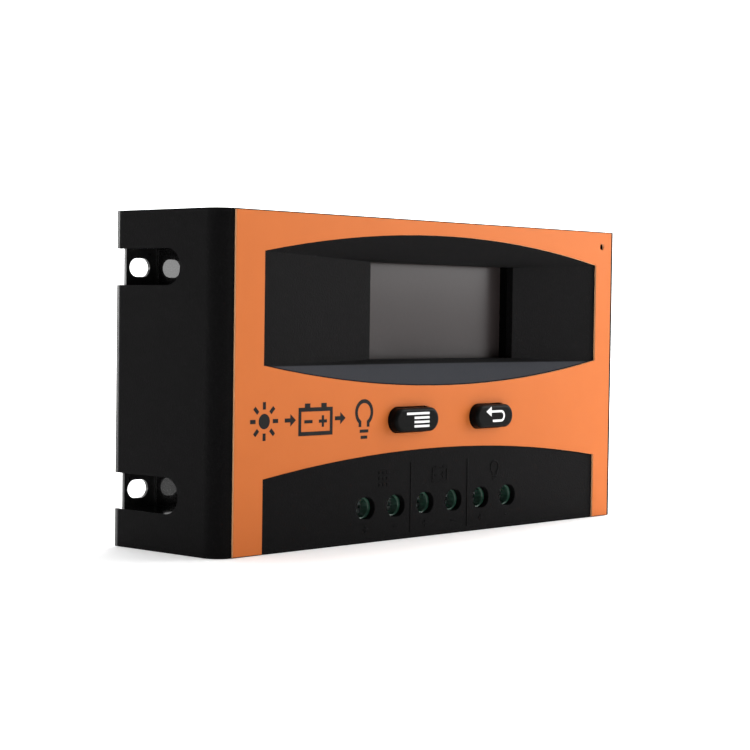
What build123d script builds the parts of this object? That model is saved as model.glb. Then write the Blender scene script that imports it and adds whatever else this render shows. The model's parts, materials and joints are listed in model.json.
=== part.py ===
"""Wall-mounted solar charge controller: a shallow plastic box with a sunken display window,
two push buttons and a row of six screw terminals along its bottom edge.

X runs across the front, Y from the front to the back, Z up. The origin is the middle of the
footprint, buttons included, so the box stands on Z = 0 with its back towards +Y.
All sizes are in millimetres.
"""
import os

from build123d import *

# ---------------------------------------------------------------- body
body_width = 150.0
body_height = 78.0
body_depth = 36.0  # face of the label to the back of the cover
corner_radius = 4.4  # the two upright front corners
side_wall = 2.4
end_wall = 2.4  # top and bottom walls
front_wall = 2.2
label_thickness = 0.5
label_margin = 0.25  # label short of the top and bottom edges
cover_thickness = 1.6
cover_edge_radius = 0.7
cover_lip = 0.3  # bevel along the cover's front edge, which makes the seam line
part_gap = 0.3  # air between neighbouring pieces that don't bear on each other
slip = 0.1  # air between pieces that slide past or stop against each other

# ---------------------------------------------------------------- mounting pockets
mount_side_inset = 6.6  # side of the body to the middle of a mounting slot
mount_end_inset = 13.0  # top or bottom of the body to the middle of a mounting slot
mount_slot_length = 6.2
mount_slot_width = 4.3
pocket_height = 8.4
pocket_depth = 11.7  # from the side of the body inwards
pocket_length = 20.7  # from the cover forwards
pocket_wall = 1.6
cover_notch = 2.5  # how far the cover is cut back at each pocket
cover_relief = 0.8  # how much thinner the cover is behind each pocket

# ---------------------------------------------------------------- front openings
panel_offset = 1.1  # display and terminal fields sit a little right of the middle
panel_margin = 7.8  # edge of the label to the edge of the fields
field_arc_rise = 5.6  # bulge of the display field's top and bottom edges
display_top_inset = 9.2  # top of the body to the field's upper corners
display_side_height = 25.9  # height of the field's straight sides
window_width = 55.2
window_height = 23.8
window_offset = 6.8  # middle of the window, right of the body's middle
window_top_inset = 10.5  # top of the body to the top of the window
recess_depth = 5.0  # housing face to the bottom of the sunken field
recess_wall = 2.0
terminal_field_height = 17.2  # height of the terminal field's straight sides
terminal_field_rise = 4.7

# ---------------------------------------------------------------- buttons
menu_button_width = 16.2
return_button_width = 14.8
button_height = 5.9
button_proud = 2.4  # how far a button stands out of the label
button_gap = 0.25
button_z = 29.2
menu_button_x = -11.5
return_button_x = 18.4
button_edge_radius = 0.9
button_flange = 1.0  # how far the retaining flange reaches past the button
button_flange_thickness = 1.2
button_stem_radius = 2.4
button_travel = 0.3
inlay_depth = 0.4
inlay_proud = 0.05
icon_bar = 0.56
icon_bar_pitch = 1.04
icon_long_bar = 8.3
icon_short_bar = 5.5
arrow_reach = 7.4  # tip of the arrow to the outside of its bend
arrow_bend_radius = 1.2
arrow_head_length = 2.0
arrow_head_half = 1.25
arrow_tail_inset = 2.6  # tip of the arrow to the start of its tail

# ---------------------------------------------------------------- push switches
switch_size = 6.2
switch_body_height = 3.6
switch_height = 9.5  # board to the tip of the plunger
plunger_radius = 1.75
plunger_clearance = 0.05
plunger_bore_depth = 2.6

# ---------------------------------------------------------------- circuit board
board_thickness = 1.6
board_end_gap = 0.6  # board to the walls around it
board_ear_margin = 4.0  # indicator to the end of the ear that carries it
boss_radius = 3.4
board_boss_inset = 5.5  # edge of the board to the middle of a fixing screw
lower_boss_z = 22.0
cover_boss_radius = 3.5
cover_boss_inset = 5.7  # side of the body to the middle of a cover screw
cover_boss_spread = 27.0  # between the two cover screws of one side
pilot_radius = 1.3
thread_gap = 0.05
screw_radius = pilot_radius - thread_gap
board_hole_radius = 1.6
cover_hole_radius = 1.6
pan_head_radius = 2.6
pan_head_height = 1.8
flat_head_radius = 2.8
flat_head_height = 1.4
driver_slot_width = 0.8
driver_slot_depth = 0.8
board_screw_length = 8.0
cover_screw_length = 12.0

# ---------------------------------------------------------------- indicator
indicator_side_inset = 8.6
indicator_top_inset = 4.1
indicator_hole_radius = 0.8
indicator_radius = 1.45
indicator_lead_radius = 0.25
indicator_lead_pitch = 1.3

# ---------------------------------------------------------------- display stack
reveal_depth = 4.3  # bottom of the sunken field to the display
glass_thickness = 2.2
film_thickness = 0.2
film_margin = 1.6  # film past the window on each side
glass_margin = 3.0  # glass past the window on each side
glass_ledge = 2.2  # contact ledge along the bottom of the glass
backlight_thickness = 3.0
frame_wall = 1.6
display_pin_count = 18
display_pin_size = 0.5
display_pin_pitch = 2.54

# ---------------------------------------------------------------- terminals
terminal_names = ["solar_plus", "solar_minus", "battery_plus", "battery_minus", "load_plus", "load_minus"]
block_names = ["solar", "battery", "load"]
terminal_pitch = 10.8
terminal_row_offset = 0.2
terminal_z = 8.3  # axis of the terminal screws
access_width = 6.4  # openings in the front wall
access_height = 5.4
block_gap = 0.1  # between neighbouring blocks
block_depth = 11.4  # along Z
cage_width = 8.2
cage_length = 6.0
cage_side = 0.9
cage_floor = 0.9
cage_plate = 1.5
cage_lift = 0.4  # board to the underside of an open cage
cage_clearance = 0.2
wire_gap = 4.6  # open height for the wire
clamp_travel = 3.5
busbar_thickness = 1.0
contact_gap = 1.0  # clamp to the leg of its contact
busbar_width = 5.6
clamp_screw_radius = 1.7
clamp_screw_clearance = 0.05
clamp_head_radius = 2.5
clamp_head_height = 1.65
clamp_head_gap = 0.25
clamp_slot_width = 0.9
clamp_slot_depth = 0.9
shoulder_thickness = 0.7
driver_lip = 1.45  # front of the block, in front of the screw heads
driver_bore_radius = 2.2
driver_bore_flare = 0.2
collar_proud = 1.0  # collar round each bore, out of the block and into its opening
collar_gap = 0.15  # opening to collar
entry_flare = 0.5
solder_pin_radius = 0.6
solder_pin_spread = 3.0
solder_pin_proud = 1.2
solder_pin_gap = 0.2
wire_port_margin = 0.8  # opening in the bottom wall, past the wire space

# ---------------------------------------------------------------- power parts behind the board
spreader_length = 96.0
spreader_height = 20.0
spreader_thickness = 3.5
spreader_z = 36.0
thermal_pad_thickness = 0.5
spreader_screw_spread = 48.0
mosfet_count = 4
mosfet_pitch = 24.0
mosfet_width = 10.0
mosfet_tab_height = 15.6
mosfet_tab_thickness = 1.3
mosfet_body_height = 9.0
mosfet_body_thickness = 3.1
mosfet_hole_inset = 3.0
mosfet_top_gap = 1.0  # top of the bar to the top of a tab
mosfet_hole_radius = 1.8
mosfet_screw_length = 3.2
mosfet_lead_pitch = 2.54
mosfet_lead_width = 0.8
mosfet_lead_thickness = 0.5
mosfet_lead_drop = 2.5
capacitor_radius = 5.0
capacitor_clearance = 1.3  # top of a capacitor to the cover
capacitor_groove = 0.4
capacitor_places = [(-44.0, 62.0), (-31.0, 62.0), (-18.0, 62.0)]
diode_radius = 2.6
diode_length = 9.0
diode_lead_radius = 0.6
diode_lead_reach = 2.4
diode_lead_bend = 1.2
diode_places = [(30.0, 64.0), (30.0, 56.5)]
shunt_width = 3.0
shunt_length = 12.0
shunt_thickness = 0.6
shunt_height = 4.0
shunt_places = [(-20.0, 19.5), (10.0, 19.5)]
chip_size = 9.0
chip_thickness = 1.4
chip_standoff = 0.1
chip_lead_count = 8  # on each of the four sides
chip_lead_pitch = 0.8
chip_lead_reach = 1.2
chip_lead_size = 0.35
chip_x = 3.0
chip_z = 61.0
resistor_size = (2.0, 0.6, 1.25)
resistor_columns = 5
resistor_pitch = 3.2
resistor_rows = [70.5, 52.0]

# ---------------------------------------------------------------- clamp levels, forwards from the board
cage_inside = cage_lift + cage_floor
busbar_level = cage_inside + wire_gap
plate_level = busbar_level + busbar_thickness + slip
well_level = plate_level + cage_plate + clamp_travel + cage_clearance
head_level = well_level + shoulder_thickness + slip / 2
head_front_level = head_level + clamp_head_height
block_level = head_front_level + slip / 2 + driver_lip
board_standoff = block_level + cage_clearance  # inside of the front wall to the board
collar_level = block_level + collar_proud

# ---------------------------------------------------------------- places worked out from the sizes
front_y = -(body_depth - button_proud - inlay_proud) / 2
face_y = front_y + label_thickness
inner_y = face_y + front_wall
back_y = front_y + body_depth
cover_y = back_y - cover_thickness
board_y = inner_y + board_standoff
board_back_y = board_y + board_thickness
side_x = body_width / 2
inner_side_x = side_x - side_wall
inner_top_z = body_height - end_wall
pocket_front_y = cover_y - pocket_length
pocket_end_x = side_x - pocket_depth
mount_x = side_x - mount_side_inset
mount_heights = [mount_end_inset, body_height - mount_end_inset]
label_width = body_width - 2 * corner_radius
field_half_width = label_width / 2 - panel_margin
display_high_z = body_height - display_top_inset
display_low_z = display_high_z - display_side_height
window_z = body_height - window_top_inset - window_height / 2
recess_y = face_y + recess_depth
board_half_width = pocket_end_x - pocket_wall - board_end_gap
board_low_z = end_wall + board_end_gap
board_high_z = inner_top_z - board_end_gap
button_places = [(menu_button_x, menu_button_width), (return_button_x, return_button_width)]
indicator_x = side_x - indicator_side_inset
indicator_z = body_height - indicator_top_inset
terminal_xs = [terminal_row_offset + (i - 2.5) * terminal_pitch for i in range(len(terminal_names))]
board_boss_places = [
    (side * (board_half_width - board_boss_inset), z)
    for side in (-1, 1)
    for z in (lower_boss_z, board_high_z - board_boss_inset)
]
cover_boss_places = [
    (side * (side_x - cover_boss_inset), body_height / 2 + end * cover_boss_spread / 2)
    for side in (-1, 1)
    for end in (-1, 1)
]
spreader_y = cover_y - thermal_pad_thickness
mosfet_y = spreader_y - spreader_thickness
mosfet_xs = [(i - (mosfet_count - 1) / 2) * mosfet_pitch for i in range(mosfet_count)]
mosfet_screw_z = spreader_z + spreader_height / 2 - mosfet_top_gap - mosfet_hole_inset
tab_high_z = mosfet_screw_z + mosfet_hole_inset
tab_low_z = tab_high_z - mosfet_tab_height
spreader_screw_places = [(side * spreader_screw_spread / 2, spreader_z) for side in (-1, 1)]
display_y = recess_y + reveal_depth
glass_y = display_y + film_thickness
rear_film_y = glass_y + glass_thickness
backlight_y = rear_film_y + film_thickness
button_front_y = front_y - button_proud
flange_y = inner_y + slip
switch_tip_y = board_y - switch_height
contact_z = terminal_z + cage_length / 2 + contact_gap  # lower face of a contact's leg


# ---------------------------------------------------------------- shape helpers
def block(x0, x1, y0, y1, z0, z1):
    """A rectangular block between two opposite corners."""
    centre = ((x0 + x1) / 2, (y0 + y1) / 2, (z0 + z1) / 2)
    return Pos(*centre) * Box(x1 - x0, y1 - y0, z1 - z0)


def front_plane(y):
    """A plane seen from the front, X across and Z up, at depth y."""
    return Plane(origin=(0, y, 0), x_dir=(1, 0, 0), z_dir=(0, -1, 0))


def deep(sketch, y0, y1):
    """A front-view sketch given depth from y0 back to y1."""
    return extrude(front_plane(y1) * sketch, amount=y1 - y0)


def rod(x, z, radius, y0, y1):
    """A round rod along Y."""
    return deep(Pos(x, z) * Circle(radius), y0, y1)


def slot(x, z, width, height, y0, y1):
    """A bar along Y with round ends left and right."""
    return deep(Pos(x, z) * SlotOverall(width, height), y0, y1)


def sideways(sketch, x0, x1):
    """A side-view sketch, Y across and Z up, given width from x0 to x1."""
    plane = Plane(origin=(x0, 0, 0), x_dir=(0, 1, 0), z_dir=(1, 0, 0))
    return extrude(plane * sketch, amount=x1 - x0)


def cone(x, z, y0, radius0, y1, radius1):
    """A cone along Y between two radii."""
    return loft([front_plane(y0) * Pos(x, z) * Circle(radius0), front_plane(y1) * Pos(x, z) * Circle(radius1)])


def level(height):
    """Depth of a clamp level: height in front of the board."""
    return board_y - height


def group(solids):
    """Separate solids that share one node."""
    return Part() + list(solids)


# ---------------------------------------------------------------- outlines of the front
def display_field(grow=0.0):
    """Barrel-shaped outline of the sunken display field."""
    left = panel_offset - field_half_width - grow
    right = panel_offset + field_half_width + grow
    low = display_low_z - grow
    high = display_high_z + grow
    outline = [
        Line((left, high), (left, low)),
        ThreePointArc((left, low), (panel_offset, low - field_arc_rise), (right, low)),
        Line((right, low), (right, high)),
        ThreePointArc((right, high), (panel_offset, high + field_arc_rise), (left, high)),
    ]
    return make_face(Wire(outline))


def window_outline(grow=0.0):
    """Outline of the display window, with its corners in the order of the field's corners."""
    left = window_offset - window_width / 2 - grow
    right = window_offset + window_width / 2 + grow
    low = window_z - window_height / 2 - grow
    high = window_z + window_height / 2 + grow
    return make_face(Wire(Polyline((left, high), (left, low), (right, low), (right, high), close=True)))


def terminal_field():
    """Outline of the bare field around the terminals, open at the bottom edge."""
    left = panel_offset - field_half_width
    right = panel_offset + field_half_width
    low = -1.0
    high = terminal_field_height
    outline = [
        Line((left, high), (left, low)),
        Line((left, low), (right, low)),
        Line((right, low), (right, high)),
        ThreePointArc((right, high), (panel_offset, high + terminal_field_rise), (left, high)),
    ]
    return make_face(Wire(outline))


def sunken_field(grow=0.0):
    """The hollow from the housing face down to the window, or its skin when grown."""
    front = front_plane(face_y) * display_field(grow)
    bottom = front_plane(recess_y + grow) * window_outline(grow)
    return loft([front, bottom], ruled=True)


# ---------------------------------------------------------------- casing
def pocket_profile(z, grow=0.0):
    """Side view of a mounting pocket: round at the front, open to the back."""
    radius = pocket_height / 2
    centre_y = pocket_front_y + radius
    stretch = Pos((centre_y + cover_y) / 2, z) * Rectangle(cover_y - centre_y, 2 * (radius + grow))
    return stretch + Pos(centre_y, z) * Circle(radius + grow)


def pockets(grow=0.0):
    """The four mounting pockets, or the blocks that they are hollowed from when grown."""
    reach = pocket_depth + grow
    shapes = []
    for z in mount_heights:
        shapes.append(sideways(pocket_profile(z, grow), -side_x, -side_x + reach))
        shapes.append(sideways(pocket_profile(z, grow), side_x - reach, side_x))
    return shapes


def housing_block():
    """The outside of the front housing."""
    outside = block(-side_x, side_x, face_y, cover_y, 0, body_height)
    front_corners = outside.edges().filter_by(Axis.Z).group_by(Axis.Y)[0]
    return fillet(front_corners, corner_radius)


def housing_hollow():
    """The inside of the front housing, open at the back."""
    inside = block(-inner_side_x, inner_side_x, inner_y, cover_y, end_wall, inner_top_z)
    front_corners = inside.edges().filter_by(Axis.Z).group_by(Axis.Y)[0]
    return fillet(front_corners, max(corner_radius - side_wall, 0.5))


def wire_ports():
    """Openings in the bottom wall in front of the wire spaces."""
    half = cage_width / 2 - cage_side + wire_port_margin
    front = level(busbar_level + wire_port_margin)
    back = level(cage_inside - wire_port_margin)
    return [block(x - half, x + half, front, back, -1, end_wall + 1) for x in terminal_xs]


def make_front_housing():
    bosses = [rod(x, z, boss_radius, inner_y, board_y) for x, z in board_boss_places]
    bosses += [rod(x, z, cover_boss_radius, inner_y, cover_y) for x, z in cover_boss_places]
    shell = housing_block() - housing_hollow()
    shell = shell + bosses + pockets(pocket_wall) + sunken_field(recess_wall)
    window = deep(window_outline(), recess_y - 1, recess_y + recess_wall + 1)
    board_pilots = [rod(x, z, pilot_radius, board_y - board_screw_length, board_y) for x, z in board_boss_places]
    cover_pilots = [rod(x, z, pilot_radius, cover_y - cover_screw_length, cover_y) for x, z in cover_boss_places]
    button_holes = [
        slot(x, button_z, width + 2 * button_gap, button_height + 2 * button_gap, face_y - 1, inner_y + 1)
        for x, width in button_places
    ]
    access = [slot(x, terminal_z, access_width, access_height, face_y - 1, inner_y + 1) for x in terminal_xs]
    indicator = rod(indicator_x, indicator_z, indicator_hole_radius, face_y - 1, inner_y + 1)
    cuts = pockets() + board_pilots + cover_pilots + button_holes + access + wire_ports()
    return shell - cuts - sunken_field() - window - indicator


def make_rear_cover():
    plate = block(-side_x, side_x, cover_y, back_y, 0, body_height)
    plate = fillet(plate.faces().sort_by(Axis.Y)[-1].edges(), cover_edge_radius)
    plate = chamfer(plate.faces().sort_by(Axis.Y)[0].edges(), cover_lip)
    cuts = []
    for z in mount_heights:
        for side in (-1, 1):
            cuts.append(slot(side * mount_x, z, mount_slot_length, mount_slot_width, cover_y - 1, back_y + 1))
            notch = block(side_x - cover_notch, side_x + 1, cover_y - 1, back_y + 1,
                          z - pocket_height / 2, z + pocket_height / 2)
            relief = block(side_x - pocket_depth, side_x + 1, cover_y - 1, cover_y + cover_relief,
                           z - pocket_height / 2, z + pocket_height / 2)
            cuts.append(notch if side > 0 else mirror(notch, about=Plane.YZ))
            cuts.append(relief if side > 0 else mirror(relief, about=Plane.YZ))
    for x, z in cover_boss_places + spreader_screw_places:
        cuts.append(rod(x, z, cover_hole_radius, cover_y - 1, back_y + 1))
        cuts.append(flat_head(x, z, grow=thread_gap))
    return plate - cuts


def make_face_label():
    half = label_width / 2
    plate = block(-half, half, front_y, face_y, label_margin, body_height - label_margin)
    cuts = [deep(display_field(), front_y - 1, face_y + 1), deep(terminal_field(), front_y - 1, face_y + 1)]
    for x, width in button_places:
        cuts.append(slot(x, button_z, width + 2 * button_gap, button_height + 2 * button_gap,
                         front_y - 1, face_y + 1))
    cuts.append(rod(indicator_x, indicator_z, indicator_hole_radius + slip, front_y - 1, face_y + 1))
    return plate - cuts


# ---------------------------------------------------------------- screws of the casing
def flat_head(x, z, grow=0.0):
    """A countersunk head flush with the back of the cover."""
    narrow = cover_hole_radius - 2 * thread_gap + grow
    return cone(x, z, back_y - flat_head_height, narrow, back_y, flat_head_radius + grow)


def cross_recess(x, z, y0, y1):
    """Two crossed slots for a screwdriver."""
    length = 2 * pan_head_radius * 0.6
    bar = Rectangle(length, driver_slot_width) + Rectangle(driver_slot_width, length)
    return deep(Pos(x, z) * bar, y0, y1)


def countersunk_screw(x, z, tip_y):
    shank = rod(x, z, screw_radius, tip_y, back_y - flat_head_height)
    return shank + flat_head(x, z) - cross_recess(x, z, back_y - driver_slot_depth, back_y + 1)


def make_cover_screws():
    tip_y = cover_y - cover_screw_length + part_gap
    return group(countersunk_screw(x, z, tip_y) for x, z in cover_boss_places)


def make_spreader_screws():
    tip_y = mosfet_y + part_gap
    return group(countersunk_screw(x, z, tip_y) for x, z in spreader_screw_places)


def make_board_screws():
    screws = []
    for x, z in board_boss_places:
        shank = rod(x, z, screw_radius, board_y - board_screw_length + part_gap, board_back_y)
        head = rod(x, z, pan_head_radius, board_back_y, board_back_y + pan_head_height)
        recess = cross_recess(x, z, board_back_y + pan_head_height - driver_slot_depth,
                              board_back_y + pan_head_height + 1)
        screws.append(shank + head - recess)
    return group(screws)


# ---------------------------------------------------------------- buttons and switches
def menu_marks(y0, y1):
    """Four bars of a menu sign, lined up on the right."""
    right = menu_button_x + icon_long_bar / 2
    bars = []
    for row in range(4):
        length = icon_long_bar if row == 0 else icon_short_bar
        z = button_z + (1.5 - row) * icon_bar_pitch
        bars.append(deep(Pos(right - length / 2, z) * Rectangle(length, icon_bar), y0, y1))
    return bars


def return_marks(y0, y1):
    """A bent arrow that points back to the left."""
    tip = return_button_x - arrow_reach / 2
    bend_x = tip + arrow_reach - arrow_bend_radius - icon_bar / 2
    upper = button_z + arrow_bend_radius
    lower = button_z - arrow_bend_radius
    path = Wire([
        Line((tip + arrow_head_length / 2, upper), (bend_x, upper)),
        ThreePointArc((bend_x, upper), (bend_x + arrow_bend_radius, button_z), (bend_x, lower)),
        Line((bend_x, lower), (tip + arrow_tail_inset, lower)),
    ])
    shaft = trace(path, icon_bar)
    head = make_face(Wire(Polyline((tip, upper), (tip + arrow_head_length, upper + arrow_head_half),
                                   (tip + arrow_head_length, upper - arrow_head_half), close=True)))
    return [deep(shaft + head, y0, y1)]


def make_button(x, width, marks):
    cap = slot(x, button_z, width, button_height, button_front_y, flange_y)
    cap = fillet(cap.faces().sort_by(Axis.Y)[0].edges(), button_edge_radius)
    flange = slot(x, button_z, width + 2 * button_flange, button_height + 2 * button_flange,
                  flange_y, flange_y + button_flange_thickness)
    stem = rod(x, button_z, button_stem_radius, flange_y, switch_tip_y)
    return cap + flange + stem - marks(button_front_y - 1, button_front_y + inlay_depth)


def make_inlay(marks):
    return group(marks(button_front_y - inlay_proud, button_front_y + inlay_depth))


def make_switch(x):
    half = switch_size / 2
    body = block(x - half, x + half, board_y - switch_body_height, board_y, button_z - half, button_z + half)
    bore = rod(x, button_z, plunger_radius + plunger_clearance, board_y - switch_body_height - 1,
               board_y - switch_body_height + plunger_bore_depth)
    return body - bore


def make_plunger(x):
    end_y = board_y - switch_body_height + plunger_bore_depth - button_travel - part_gap
    return rod(x, button_z, plunger_radius, switch_tip_y, end_y)


# ---------------------------------------------------------------- display
def window_block(grow, y0, y1, extra_low=0.0):
    """A plate as large as the window grown on every side."""
    return block(window_offset - window_width / 2 - grow, window_offset + window_width / 2 + grow, y0, y1,
                 window_z - window_height / 2 - grow - extra_low, window_z + window_height / 2 + grow)


def make_display_frame():
    inside = glass_margin + part_gap
    outer = window_block(inside + frame_wall, recess_y + recess_wall + slip, board_y, glass_ledge)
    well = window_block(inside, display_y, board_y + 1, glass_ledge)
    opening = deep(window_outline(), recess_y, board_y)
    return outer - well - opening


def make_front_film():
    return window_block(film_margin, display_y, glass_y)


def make_display_glass():
    return window_block(glass_margin, glass_y, rear_film_y, glass_ledge)


def make_rear_film():
    return window_block(film_margin, rear_film_y, backlight_y)


def make_backlight():
    return window_block(film_margin, backlight_y, backlight_y + backlight_thickness)


def make_display_pins():
    half = display_pin_size / 2
    z = window_z - window_height / 2 - glass_margin - glass_ledge / 2
    pins = []
    for i in range(display_pin_count):
        x = window_offset + (i - (display_pin_count - 1) / 2) * display_pin_pitch
        pins.append(block(x - half, x + half, rear_film_y, board_y, z - half, z + half))
    return group(pins)


# ---------------------------------------------------------------- board and indicator
def make_main_board():
    board = block(-board_half_width, board_half_width, board_y, board_back_y, board_low_z, board_high_z)
    ear_low_z = mount_heights[1] + pocket_height / 2 + pocket_wall + part_gap
    ear = block(board_half_width - 1, indicator_x + board_ear_margin, board_y, board_back_y,
                ear_low_z, board_high_z)
    holes = [rod(x, z, board_hole_radius, board_y - 1, board_back_y + 1) for x, z in board_boss_places]
    for x, z in solder_pin_places():
        holes.append(rod(x, z, solder_pin_radius + solder_pin_gap, board_y - 1, board_back_y + 1))
    return board + ear - holes


def make_indicator():
    tip_y = inner_y + part_gap
    lens_end_y = tip_y + 3 * indicator_radius
    lens = rod(indicator_x, indicator_z, indicator_radius, tip_y, lens_end_y)
    lens = fillet(lens.faces().sort_by(Axis.Y)[0].edges(), 0.9 * indicator_radius)
    leads = [
        rod(indicator_x + side * indicator_lead_pitch / 2, indicator_z, indicator_lead_radius, lens_end_y, board_y)
        for side in (-1, 1)
    ]
    return lens + leads


# ---------------------------------------------------------------- terminals
def solder_pin_places():
    """Middle of each solder pin, two for each terminal."""
    z = contact_z + busbar_thickness / 2
    return [(x + side * solder_pin_spread / 2, z) for x in terminal_xs for side in (-1, 1)]


def terminal_hollows(x):
    """Everything that is cut out of a block for one terminal."""
    half_x = cage_width / 2 + cage_clearance
    half_z = cage_length / 2 + cage_clearance
    low_z = terminal_z - block_depth / 2
    well = block(x - half_x, x + half_x, level(well_level), board_y + 1, terminal_z - half_z, terminal_z + half_z)
    leg_half = busbar_width / 2 + cage_clearance
    leg = block(x - leg_half, x + leg_half, level(plate_level), board_y + 1,
                terminal_z, contact_z + busbar_thickness + slip)
    shank = rod(x, terminal_z, clamp_screw_radius + 3 * clamp_screw_clearance, level(head_level), board_y)
    head = rod(x, terminal_z, clamp_head_radius + clamp_head_gap,
               level(head_front_level) - slip / 2, level(head_level) + slip / 2)
    bore = rod(x, terminal_z, driver_bore_radius, level(collar_level) - 1, level(head_level))
    flare = cone(x, terminal_z, level(collar_level), driver_bore_radius + driver_bore_flare,
                 level(collar_level) + driver_bore_flare, driver_bore_radius)
    wire_half = cage_width / 2 - cage_side
    wire_y = level((busbar_level + cage_inside) / 2)
    entry = block(x - wire_half, x + wire_half, level(busbar_level), level(cage_inside), low_z - 1, terminal_z)
    mouth = loft([
        Pos(x, wire_y, low_z) * Rectangle(2 * (wire_half + entry_flare), wire_gap + 2 * entry_flare),
        Pos(x, wire_y, low_z + entry_flare) * Rectangle(2 * wire_half, wire_gap),
    ])
    return [well, leg, shank, head, bore, flare, entry, mouth]


def make_terminal_block(first):
    """A two-way block around the terminals first and first + 1."""
    middle = (terminal_xs[first] + terminal_xs[first + 1]) / 2
    half_x = terminal_pitch - block_gap / 2
    body = block(middle - half_x, middle + half_x, level(block_level), board_y,
                 terminal_z - block_depth / 2, terminal_z + block_depth / 2)
    places = terminal_xs[first:first + 2]
    collars = [
        slot(x, terminal_z, access_width - 2 * collar_gap, access_height - 2 * collar_gap,
             level(collar_level), level(block_level) + 1)
        for x in places
    ]
    return body + collars - terminal_hollows(places[0]) - terminal_hollows(places[1])


def make_clamp_cage(x):
    """A box-shaped clamp that the screw draws towards the front, round the wire and the contact."""
    half_x = cage_width / 2
    half_z = cage_length / 2
    outside = block(x - half_x, x + half_x, level(plate_level + cage_plate), level(cage_lift),
                    terminal_z - half_z, terminal_z + half_z)
    inside = block(x - half_x + cage_side, x + half_x - cage_side, level(plate_level), level(cage_inside),
                   terminal_z - half_z - 1, terminal_z + half_z + 1)
    thread = rod(x, terminal_z, clamp_screw_radius + clamp_screw_clearance,
                 level(plate_level + cage_plate) - 1, level(plate_level) + 1)
    return outside - inside - thread


def make_clamp_screw(x):
    tip = level(plate_level) + slip / 2
    shank = rod(x, terminal_z, clamp_screw_radius, level(head_level), tip)
    head_front = level(head_front_level)
    head = rod(x, terminal_z, clamp_head_radius, head_front, level(head_level))
    cut = deep(Pos(x, terminal_z) * Rectangle(3 * clamp_head_radius, clamp_slot_width),
               head_front - 1, head_front + clamp_slot_depth)
    return shank + head - cut


def make_contacts():
    contacts = []
    half_x = busbar_width / 2
    for x in terminal_xs:
        bar = block(x - half_x, x + half_x, level(busbar_level + busbar_thickness), level(busbar_level),
                    terminal_z - cage_length / 2, contact_z + busbar_thickness)
        leg = block(x - half_x, x + half_x, level(busbar_level), board_y, contact_z, contact_z + busbar_thickness)
        pins = [
            rod(x + side * solder_pin_spread / 2, contact_z + busbar_thickness / 2, solder_pin_radius, board_y,
                board_back_y + solder_pin_proud)
            for side in (-1, 1)
        ]
        contacts.append(bar + leg + pins)
    return group(contacts)


# ---------------------------------------------------------------- power parts
def make_heat_spreader():
    bar = block(-spreader_length / 2, spreader_length / 2, mosfet_y, spreader_y,
                spreader_z - spreader_height / 2, spreader_z + spreader_height / 2)
    holes = [rod(x, z, pilot_radius, mosfet_y - 1, spreader_y + 1) for x, z in spreader_screw_places]
    holes += [rod(x, mosfet_screw_z, pilot_radius, mosfet_y - 1, spreader_y + 1) for x in mosfet_xs]
    return bar - holes


def make_thermal_pad():
    pad = block(-spreader_length / 2, spreader_length / 2, spreader_y, cover_y,
                spreader_z - spreader_height / 2, spreader_z + spreader_height / 2)
    return pad - [rod(x, z, cover_hole_radius, spreader_y - 1, cover_y + 1) for x, z in spreader_screw_places]


def make_mosfet_tabs():
    tabs = []
    lead_y = mosfet_y - mosfet_tab_thickness - mosfet_body_thickness / 2
    for x in mosfet_xs:
        half = mosfet_width / 2
        tab = block(x - half, x + half, mosfet_y - mosfet_tab_thickness, mosfet_y, tab_low_z, tab_high_z)
        tabs.append(tab - rod(x, mosfet_screw_z, mosfet_hole_radius, mosfet_y - 5, mosfet_y + 1))
        for step in (-1, 0, 1):
            lead_x = x + step * mosfet_lead_pitch
            reach = (lead_x - mosfet_lead_width / 2, lead_x + mosfet_lead_width / 2)
            foot_z = tab_low_z - mosfet_lead_drop
            down = block(*reach, lead_y - mosfet_lead_thickness / 2, lead_y + mosfet_lead_thickness / 2,
                         foot_z, tab_low_z)
            ahead = block(*reach, board_back_y, lead_y, foot_z, foot_z + mosfet_lead_thickness)
            tabs.append(down + ahead)
    return group(tabs)


def make_mosfet_bodies():
    half = mosfet_width / 2
    front = mosfet_y - mosfet_tab_thickness - mosfet_body_thickness
    return group(
        block(x - half, x + half, front, mosfet_y - mosfet_tab_thickness, tab_low_z, tab_low_z + mosfet_body_height)
        for x in mosfet_xs
    )


def make_mosfet_screws():
    screws = []
    seat = mosfet_y - mosfet_tab_thickness
    for x in mosfet_xs:
        shank = rod(x, mosfet_screw_z, screw_radius, seat, mosfet_y + mosfet_screw_length - part_gap)
        head = rod(x, mosfet_screw_z, pan_head_radius, seat - pan_head_height, seat)
        recess = cross_recess(x, mosfet_screw_z, seat - pan_head_height - 1, seat - pan_head_height + driver_slot_depth)
        screws.append(shank + head - recess)
    return group(screws)


def make_capacitors():
    cans = []
    for x, z in capacitor_places:
        can = rod(x, z, capacitor_radius, board_back_y, cover_y - capacitor_clearance)
        groove_y = board_back_y + capacitor_radius / 2
        ring = rod(x, z, capacitor_radius + 1, groove_y, groove_y + 1.0)
        ring = ring - rod(x, z, capacitor_radius - capacitor_groove, groove_y - 1, groove_y + 2)
        cans.append(can - ring)
    return group(cans)


def diode_lead(x, z, axis_y):
    """One wire, bent down to the board at both ends."""
    reach = diode_length / 2 + diode_lead_reach
    path = FilletPolyline((x - reach, board_back_y, z), (x - reach, axis_y, z),
                          (x + reach, axis_y, z), (x + reach, board_back_y, z), radius=diode_lead_bend)
    section = Plane(origin=path @ 0, z_dir=path % 0) * Circle(diode_lead_radius)
    return sweep(section, path)


def make_diodes():
    axis_y = board_back_y + diode_radius + part_gap
    return group(
        Pos(x, axis_y, z) * Rot(0, 90, 0) * Cylinder(diode_radius, diode_length) + diode_lead(x, z, axis_y)
        for x, z in diode_places
    )


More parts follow.
